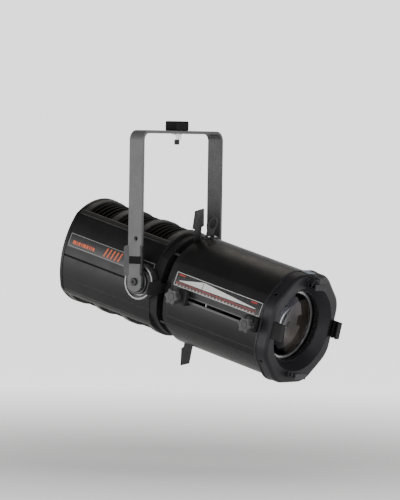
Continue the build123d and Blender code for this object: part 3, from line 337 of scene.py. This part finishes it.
def side_shaded_clips(name, low, high):
    """Clip coat with painted light and shade: dull black painted shade on the two side clips, and painted
    light making the one below a little lighter.
    """
    n = Nodes(name)
    side_shade = n.remap(n.math("ABSOLUTE", n.axis("Y"), 0.0), *CLIP_SPLIT, 0.0, 1.0)
    cloud = n.noise(60.0, 4.0, 0.6)
    light = n.mix(n.remap(cloud, 0.3, 0.7, 0.0, 1.0), tuple(c * 0.8 for c in high), high)
    normal, mask = n.edge(0.001)
    worn = n.mix(n.math("MULTIPLY", mask, n.remap(cloud, 0.4, 0.6, 0.0, 0.6)), light, (0.22, 0.22, 0.23))
    rough = n.math("MAXIMUM", n.remap(cloud, 0.3, 0.7, 0.36, 0.46), n.math("MULTIPLY", side_shade, 0.62))
    n.set(Base_Color=n.mix(side_shade, worn, low), Roughness=rough,
          Normal=n.bump(n.noise(900.0, 2.0), 0.5, 0.00006, normal), Specular_IOR_Level=0.35)
    return n.material


def worn_and_side_shaded(name, near, far):
    """Yoke coat with painted shade that makes it darker from the near leg to the far leg. It also has a
    little dust and worn edges.
    """
    n = Nodes(name)
    across = n.remap(n.axis("Y"), -YOKE_HALF_WIDTH, YOKE_HALF_WIDTH, 0.0, 1.0)
    drift = n.remap(n.noise(CLOUD_SCALE, 5.0, 0.6), 0.3, 0.7, -0.15, 0.15)
    colour = n.dusted(n.mix(n.math("ADD", across, drift), near, far), 0.08)
    normal, mask = n.edge(EDGE_RADIUS)
    colour = n.chipped(colour, mask, 0.3, (0.30, 0.30, 0.30))
    n.set(Base_Color=colour, Roughness=n.remap(n.noise(42.0, 3.0), 0.3, 0.7, 0.41, 0.51), Metallic=0.12,
          Normal=n.bump(n.noise(1200.0, 2.0, 0.6), 0.6, 0.00012, normal), Specular_IOR_Level=0.40)
    return n.material


REPAINTED = {
    # painted shade: the yoke coat is darkened from the near leg to the far leg
    "yoke_strap": worn_and_side_shaded("yoke_coat_painted_shade_by_side", (0.118, 0.118, 0.120), (0.062, 0.062, 0.064)),
    "hanging_shoe": DEEP_BLACK,
    "leg_bands": DEEP_BLACK,
    "ring_screws": DEEP_BLACK,
    "top_louvres": DEEP_BLACK,
    "bottom_louvres": DEEP_BLACK,
    "rear_lens": glass("rear_lens_glass", (0.34, 0.35, 0.37)),
    "rear_lens_ring": MATERIALS["blackened_steel"],
    "front_barrel": lined("barrel_coat", (0.009, 0.009, 0.009)),
    # painted shade on the two side clips, painted light on the clip below
    "frame_clips": side_shaded_clips("clip_coat_painted_light_and_shade", (0.006, 0.006, 0.006), (0.060, 0.060, 0.066)),
    "tilt_discs": rimmed("tilt_disc_finish"),
}
slots = {part["node"]: part["material_slot"] for part in frame["record"]["subparts"]}
for name, node in frame["nodes"].items():
    node.data.materials.clear()
    node.data.materials.append(REPAINTED.get(name, MATERIALS[slots[name]]))


# ---------------------------------------------------------------- geometry helpers
SMOOTH_LIMIT = math.radians(35)
MARK_ROW = 4.0              # tallest row of a printed mark, so that it follows the curved plate


def add_piece(name, vertices, faces, material, body, smooth=False):
    """A mesh object that rides on a body and takes the finish it is given."""
    mesh = bpy.data.meshes.new(name)
    mesh.from_pydata([tuple(v) for v in vertices], [], faces)
    mesh.validate()
    mesh.update()
    if smooth:
        mesh.shade_smooth()
        mesh.set_sharp_from_angle(angle=SMOOTH_LIMIT)
    item = bpy.data.objects.new(name, mesh)
    bpy.context.scene.collection.objects.link(item)
    mesh.materials.append(material)
    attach(item, body)
    return item


def print_marks(name, marks, side, half_width, material, lift=0.22, base=-0.05):
    """Thin printed marks on a curved side plate. Each is a quad given by its four (u, v) corners."""
    vertices = []
    faces = []

    def surface(v, height):
        radius = SIDE_RADIUS + LABEL_THICKNESS + height
        return side * (half_width - SIDE_RADIUS + math.sqrt(radius * radius - v * v))

    def add_faces(quads):
        faces.extend(quad if side == NEAR else quad[::-1] for quad in quads)

    for (u0, v0), (u1, v1), (u2, v2), (u3, v3) in marks:
        rows = max(1, math.ceil(max(abs(v3 - v0), abs(v2 - v1)) / MARK_ROW))
        start = len(vertices)
        for row in range(rows + 1):
            t = row / rows
            left = (u0 + (u3 - u0) * t, v0 + (v3 - v0) * t)
            right = (u1 + (u2 - u1) * t, v1 + (v2 - v1) * t)
            for u, v in (left, right):
                vertices.append(head(u, surface(v, lift), v))
                vertices.append(head(u, surface(v, base), v))
        for a in range(start, start + rows * 4, 4):
            add_faces([(a, a + 2, a + 6, a + 4), (a + 1, a + 5, a + 7, a + 3),
                       (a, a + 4, a + 5, a + 1), (a + 2, a + 3, a + 7, a + 6)])
        end = start + rows * 4
        add_faces([(start, start + 1, start + 3, start + 2), (end, end + 2, end + 3, end + 1)])
    return add_piece(name, vertices, faces, material, "head")


def rect(u0, u1, v0, v1):
    """Corners of an upright rectangle between two stations and two heights."""
    return [(u0, v0), (u1, v0), (u1, v1), (u0, v1)]


def border(u0, u1, v0, v1, width):
    """Four strips that make a rectangle's outline, drawn inwards."""
    return [
        rect(u0, u1, v0, v0 + width), rect(u0, u1, v1 - width, v1),
        rect(u0, u0 + width, v0 + width, v1 - width), rect(u1 - width, u1, v0 + width, v1 - width),
    ]


def prism(name, start, end, flip, material, body, slot):
    """Two matching outlines joined into a closed solid."""
    count = len(start)
    faces = [(i, (i + 1) % count, (i + 1) % count + count, i + count) for i in range(count)]
    faces += [tuple(range(count - 1, -1, -1)), tuple(range(count, 2 * count))]
    if flip:
        faces = [face[::-1] for face in faces]
    return add_piece(name, start + end, faces, material, body)


def lathe(name, profile, centre, axis, material, body, segments):
    """Turned solid: profile is (distance along the axis, radius) in mm; centre in metres."""
    up = (UPWARD - axis * UPWARD.dot(axis)).normalized()
    across = axis.cross(up)
    count = len(profile)
    vertices = []
    faces = []
    for step in range(segments):
        turn = 2 * math.pi * step / segments
        out = up * math.cos(turn) + across * math.sin(turn)
        vertices += [centre + axis * along * MM + out * radius * MM for along, radius in profile]
        following = (step + 1) % segments
        for index in range(count - 1):
            faces.append((step * count + index, step * count + index + 1,
                          following * count + index + 1, following * count + index))
    faces.append(tuple(step * count for step in range(segments)))
    faces.append(tuple(step * count + count - 1 for step in reversed(range(segments))))
    return add_piece(name, vertices, faces, material, body, smooth=True)


# ---------------------------------------------------------------- printed labels on the lamp house's sides
LABEL_START = -244.0
LABEL_END = 20.0
LABEL_LOW = 17.0
LABEL_HIGH = 46.5
LABEL_INSET = 2.0
LABEL_MARGIN = 14.0
LINE_WIDTH = 1.0
DASH_WIDTHS = (9, 3, 6, 3, 9, 6, 3, 3, 6)
DASH_GAP = 2.4
DASH_LOW = 24.0
DASH_HIGH = 32.0
BARS_OFFSET = 96.0
BAR_COUNT = 5
BAR_PITCH = 11.0
BAR_SLANT = 7.0
BAR_WIDTH = 4.0
BAR_LOW = 20.5
BAR_HIGH = 42.0
for side, place in SIDES:
    lines = border(LABEL_START + LABEL_INSET, LABEL_END - LABEL_INSET, LABEL_LOW, LABEL_HIGH, LINE_WIDTH)
    print_marks(f"label_border_{place}", lines, side, REAR_HALF_WIDTH, PRINT_GREY)
    onward = 1 if side == NEAR else -1
    first = LABEL_START + LABEL_MARGIN if side == NEAR else LABEL_END - LABEL_MARGIN
    dashes = []
    position = first
    for width in DASH_WIDTHS:
        after = position + onward * width
        dashes.append(rect(min(position, after), max(position, after), DASH_LOW, DASH_HIGH))
        position += onward * (width + DASH_GAP)
    print_marks(f"label_dashes_{place}", dashes, side, REAR_HALF_WIDTH, PRINT_ORANGE)
    bars = []
    for step in range(BAR_COUNT):
        low = first + onward * (BARS_OFFSET + step * BAR_PITCH)
        high = low + onward * BAR_SLANT
        width = onward * BAR_WIDTH
        bar = [(low, BAR_LOW), (low + width, BAR_LOW), (high + width, BAR_HIGH), (high, BAR_HIGH)]
        bars.append(bar if side == NEAR else [bar[1], bar[0], bar[3], bar[2]])
    print_marks(f"label_bars_{place}", bars, side, REAR_HALF_WIDTH, PRINT_ORANGE)

# ---------------------------------------------------------------- painted shade: dull black strips on the floor of the side grooves
GROOVE = rect(BODY_START + 0.5, BODY_END - 0.5, -8.9, -5.1)
for side, place in SIDES:
    print_marks(f"groove_painted_shade_{place}", [GROOVE], side, REAR_HALF_WIDTH, DEEP_BLACK,
                lift=-1.9, base=-2.3)

# ---------------------------------------------------------------- cast rails along the louvre openings
RAIL_START = 47.3           # degrees about the axis, from level
RAIL_END = 54.0
RAIL_STEPS = 4
RAIL_RISE = 1.0             # above the body
RAIL_EDGE_RISE = 0.3
RAIL_FOOT = 0.3             # below the body, where the rail starts on the side plate
RAIL_WALL_FOOT = 3.9        # below the body, where the rail ends in the louvre opening


def around(degrees, radius):
    """Both coordinates of a point at an angle about the axis."""
    return math.cos(math.radians(degrees)) * radius, math.sin(math.radians(degrees)) * radius


rail_outline = []
for step in range(RAIL_STEPS + 1):
    rise = RAIL_RISE if 0 < step < RAIL_STEPS else RAIL_EDGE_RISE
    rail_outline.append(around(RAIL_START + (RAIL_END - RAIL_START) * step / RAIL_STEPS, BODY_RADIUS + rise))
rail_outline += [around(RAIL_END, BODY_RADIUS - RAIL_WALL_FOOT), around(RAIL_START, BODY_RADIUS - RAIL_FOOT)]
for level, upright in (("top", 1), ("bottom", -1)):
    for side, place in SIDES:
        ends = [[head(u, side * y, upright * v) for y, v in rail_outline] for u in (BODY_START, BODY_END)]
        prism(f"{level}_rail_{place}", *ends, side * upright == NEAR,
              MATERIALS["frame_grey"], "head", "frame_grey")

# ---------------------------------------------------------------- zoom scale on the barrel
SCALE_BOX = (90.5, 344.5, 20.0, 50.5)
WEDGE = (
    ((103.0, 31.5), (170.0, 31.5), (170.0, 47.0), (103.0, 33.0)),
    ((171.8, 31.5), (329.0, 33.0), (329.0, 34.6), (171.8, 47.0)),
)
MARKS_START = 97.0
TICK_COUNT = 60
TICK_PITCH = 3.95
TICK_WIDTH = 1.3
TICK_TOP = 29.6
TICK_LOW = 26.6
LONG_TICK_LOW = 25.0
LONG_TICK_EVERY = 5
CAPTION_STARTS = (98.0, 312.0)
CAPTION_MARKS = 5
CAPTION_PITCH = 3.6
CAPTION_WIDTH = 2.4
CAPTION_LOW = 43.8
CAPTION_HIGH = 47.4
DOT_COUNT = 24
DOT_PITCH = 9.9
DOT_WIDTH = 4.6
DOT_LOW = 21.8
DOT_HIGH = 24.2


def row_of(count, start, pitch, width, low, high):
    """Equal rectangles side by side."""
    return [rect(start + step * pitch, start + step * pitch + width, low, high) for step in range(count)]


ticks = []
for step in range(TICK_COUNT):
    low = TICK_LOW if step % LONG_TICK_EVERY else LONG_TICK_LOW
    u = MARKS_START + step * TICK_PITCH
    ticks.append(rect(u, u + TICK_WIDTH, low, TICK_TOP))
for first in CAPTION_STARTS:
    ticks += row_of(CAPTION_MARKS, first, CAPTION_PITCH, CAPTION_WIDTH, CAPTION_LOW, CAPTION_HIGH)
dots = row_of(DOT_COUNT, MARKS_START, DOT_PITCH, DOT_WIDTH, DOT_LOW, DOT_HIGH)
scale_prints = (
    ("border", border(*SCALE_BOX, LINE_WIDTH), PRINT_WHITE),
    ("wedge", WEDGE, PRINT_WHITE),
    ("ticks", ticks, PRINT_RED),
    ("dots", dots, PRINT_PINK),
)
for kind, marks, ink in scale_prints:
    print_marks(f"scale_{kind}", marks, NEAR, BARREL_HALF_WIDTH, ink)

# ---------------------------------------------------------------- painted highlight: paler strips above and below the focus slot
# painted highlight: this paler paint stands in for the reflection along the barrel's side
EDGING = printed("slot_edging_paint", (0.060, 0.060, 0.060), rough=0.35)
EDGING_STRIPS = (rect(112.0, 342.0, 3.7, 6.4), rect(112.0, 342.0, -8.6, -3.7))
print_marks("slot_edging", EDGING_STRIPS, NEAR, BARREL_HALF_WIDTH, EDGING,
            lift=-0.3, base=-0.65)

# ---------------------------------------------------------------- ribbed collar in the front ring's throat
COLLAR_OUTSIDE = 83.9
COLLAR_RIB = 80.6           # radius inside a rib
COLLAR_GAP = 82.2           # radius between ribs
COLLAR_START = 350.8
COLLAR_END = 361.4
COLLAR_STEPS = 256          # four to a rib
collar_vertices = []
collar_faces = []
for step in range(COLLAR_STEPS):
    turn = 2 * math.pi * step / COLLAR_STEPS
    for radius in (COLLAR_RIB if step % 4 < 2 else COLLAR_GAP, COLLAR_OUTSIDE):
        for station in (COLLAR_START, COLLAR_END):
            collar_vertices.append(head(station, radius * math.cos(turn), radius * math.sin(turn)))
    a = step * 4
    b = (a + 4) % (COLLAR_STEPS * 4)
    collar_faces += [(a, a + 1, b + 1, b), (a + 2, b + 2, b + 3, a + 3),
                     (a, b, b + 2, a + 2), (a + 1, a + 3, b + 3, b + 1)]
add_piece("throat_collar", collar_vertices, collar_faces, MATERIALS["black_matt"], "head")

# ---------------------------------------------------------------- ridged pad on the ring, behind the latch
PAD_START = 355.0
PAD_RIDGES = 5
PAD_PITCH = 4.4
PAD_HALF_WIDTH = 13.0
PAD_FOOT = 126.3
PAD_VALLEY = 127.4
PAD_CREST = 128.5
PAD_RIDGE = ((0.0, PAD_VALLEY), (0.6, PAD_CREST), (2.4, PAD_CREST), (3.0, PAD_VALLEY))
PAD_METAL = brushed("ridged_pad_metal", (0.30, 0.33, 0.38), 0.34, scale=220.0)
pad_outline = [(PAD_START, PAD_FOOT)]
for step in range(PAD_RIDGES):
    pad_outline += [(PAD_START + step * PAD_PITCH + along, v) for along, v in PAD_RIDGE]
pad_outline.append((pad_outline[-1][0], PAD_FOOT))
ends = [[head(u, side * PAD_HALF_WIDTH, v) for u, v in pad_outline] for side in (NEAR, FAR)]
prism("latch_grip_pad", *ends, True, PAD_METAL, "head", "zinc_steel")

# ---------------------------------------------------------------- caps on the star knobs
KNOB_FACE = 153.0
CAP_PROFILE = [(-1.0, 9.2), (0.7, 9.2), (1.5, 8.4), (1.5, 6.0), (0.4, 5.4)]
for place, station in (("rear", 118.0), ("front", 336.0)):
    lathe(f"{place}_knob_cap", CAP_PROFILE, head(station, -KNOB_FACE, 0), -SIDEWAYS, MATERIALS["knob_grey"],
          f"{place}_knob", 48)

# ---------------------------------------------------------------- plugs in the shutter handles' holes
PLUG_RADIUS = 162.0         # axis to a plug, with the shutter fully out
PLUG_PROFILE = [(-1.3, 2.95), (1.3, 2.95)]
HANDLES = {                 # station, direction in degrees, distance pushed in
    "top": (57.2, 12.0, 0.0),
    "bottom": (60.8, 188.0, 5.0),
    "near": (53.6, 90.0, 28.0),
    "far": (50.0, -90.0, 10.0),
}
for place, (station, turn, pushed) in HANDLES.items():
    v, y = around(turn, PLUG_RADIUS - pushed)
    lathe(f"{place}_handle_plug", PLUG_PROFILE, head(station, -y, v), FORWARD, MATERIALS["black_plastic"],
          f"{place}_shutter", 32)

# ---------------------------------------------------------------- floor and air of the studio, in metres
FLOOR_LEVEL = -0.78
FLOOR_RADIUS = 14.0
FLOOR_SIDES = 96
GLOW_RADII = (0.85, 2.85)   # the floor glows more from the first radius to the second
GLOW_STRENGTHS = (0.27, 1.64)
floor_vertices = [(0.0, 0.0, FLOOR_LEVEL)]
for step in range(FLOOR_SIDES):
    turn = 2 * math.pi * step / FLOOR_SIDES
    floor_vertices.append((FLOOR_RADIUS * math.cos(turn), FLOOR_RADIUS * math.sin(turn), FLOOR_LEVEL))
floor_faces = [(0, step + 1, (step + 1) % FLOOR_SIDES + 1) for step in range(FLOOR_SIDES)]
floor_mesh = bpy.data.meshes.new("studio_floor")
floor_mesh.from_pydata(floor_vertices, [], floor_faces)
floor = bpy.data.objects.new("studio_floor", floor_mesh)
bpy.context.scene.collection.objects.link(floor)
paper = Nodes("studio_paper")
distance = paper.vector("LENGTH", paper.place, (0, 0, 0), "Value")
tone = paper.mix(paper.noise(30.0, 3.0), (0.90, 0.90, 0.90), (0.93, 0.93, 0.93))
paper.set(Base_Color=tone, Roughness=0.9, Specular_IOR_Level=0.1, Emission_Color=(1.0, 1.0, 1.0),
          Emission_Strength=paper.remap(distance, *GLOW_RADII, *GLOW_STRENGTHS))
floor_mesh.materials.append(paper.material)

AIR_SHADES = ((0.0, 1.0), (0.05, 1.0), (0.13, 0.55), (0.33, 0.30), (0.62, 0.085))  # height of the ray, shade
AIR_STRENGTH = 1.9
world = bpy.data.worlds.new("studio_air")
world.use_nodes = True
air = world.node_tree
air_place = air.nodes.new("ShaderNodeTexCoord")
air_split = air.nodes.new("ShaderNodeSeparateXYZ")
air_shade = air.nodes.new("ShaderNodeValToRGB")
air.links.new(air_place.outputs["Generated"], air_split.inputs["Vector"])
air.links.new(air_split.outputs["Z"], air_shade.inputs["Fac"])
air.links.new(air_shade.outputs["Color"], air.nodes["Background"].inputs["Color"])
stops = air_shade.color_ramp.elements
while len(stops) < len(AIR_SHADES):
    stops.new(0.5)
for stop, (height, shade) in zip(stops, AIR_SHADES):
    stop.position = height
    stop.color = (shade, shade, shade, 1.0)
air.nodes["Background"].inputs["Strength"].default_value = AIR_STRENGTH
bpy.context.scene.world = world

# ---------------------------------------------------------------- lights
AIM = Vector((0.05, 0, -0.33))


def softbox(name, place, *, width, height, power, colour=(1.0, 1.0, 1.0)):
    """Soft rectangular lamp in metres and watts, turned towards the head."""
    data = bpy.data.lights.new(name, "AREA")
    data.shape = "RECTANGLE"
    data.size = width
    data.size_y = height
    data.energy = power
    data.color = colour
    item = bpy.data.objects.new(name, data)
    item.location = place
    item.rotation_euler = (AIM - Vector(place)).to_track_quat("-Z", "Y").to_euler()
    bpy.context.scene.collection.objects.link(item)


softbox("top_softbox", (-0.9, 1.45, 1.9), width=1.8, height=1.1, power=7.5, colour=(1.0, 0.92, 0.83))
softbox("key_softbox", (2.4, -1.2, 0.7), width=1.2, height=1.2, power=7.0)
softbox("left_softbox", (-1.66, -2.05, -0.35), width=1.2, height=1.1, power=9.0)

# ---------------------------------------------------------------- camera
VIEW_AZIMUTH = math.radians(39.0)
VIEW_ELEVATION = math.radians(1.4)
VIEW_ROLL = math.radians(0.86)
VIEW_DISTANCE = 9.2
SHIFT_RIGHT = 0.058         # from the tilt pivot to the middle of the view
SHIFT_UP = 0.0708
flat_right = Vector((math.cos(VIEW_AZIMUTH), math.sin(VIEW_AZIMUTH), 0))
backward = Vector((math.sin(VIEW_AZIMUTH) * math.cos(VIEW_ELEVATION),
                   -math.cos(VIEW_AZIMUTH) * math.cos(VIEW_ELEVATION), math.sin(VIEW_ELEVATION)))
flat_up = backward.cross(flat_right)
right = flat_right * math.cos(VIEW_ROLL) + flat_up * math.sin(VIEW_ROLL)
up = flat_up * math.cos(VIEW_ROLL) - flat_right * math.sin(VIEW_ROLL)
centre = Vector((0, 0, -PIVOT_DROP * MM)) + right * SHIFT_RIGHT + up * SHIFT_UP
camera_data = bpy.data.cameras.new("camera")
camera_data.sensor_width = 36.0
camera_data.sensor_fit = "AUTO"
camera_data.lens = 288.0
camera_data.clip_end = 60.0
camera = bpy.data.objects.new("camera", camera_data)
turn = Matrix((right, up, backward)).transposed().to_4x4()
camera.matrix_world = Matrix.Translation(centre + backward * VIEW_DISTANCE) @ turn
bpy.context.scene.collection.objects.link(camera)
bpy.context.scene.camera = camera
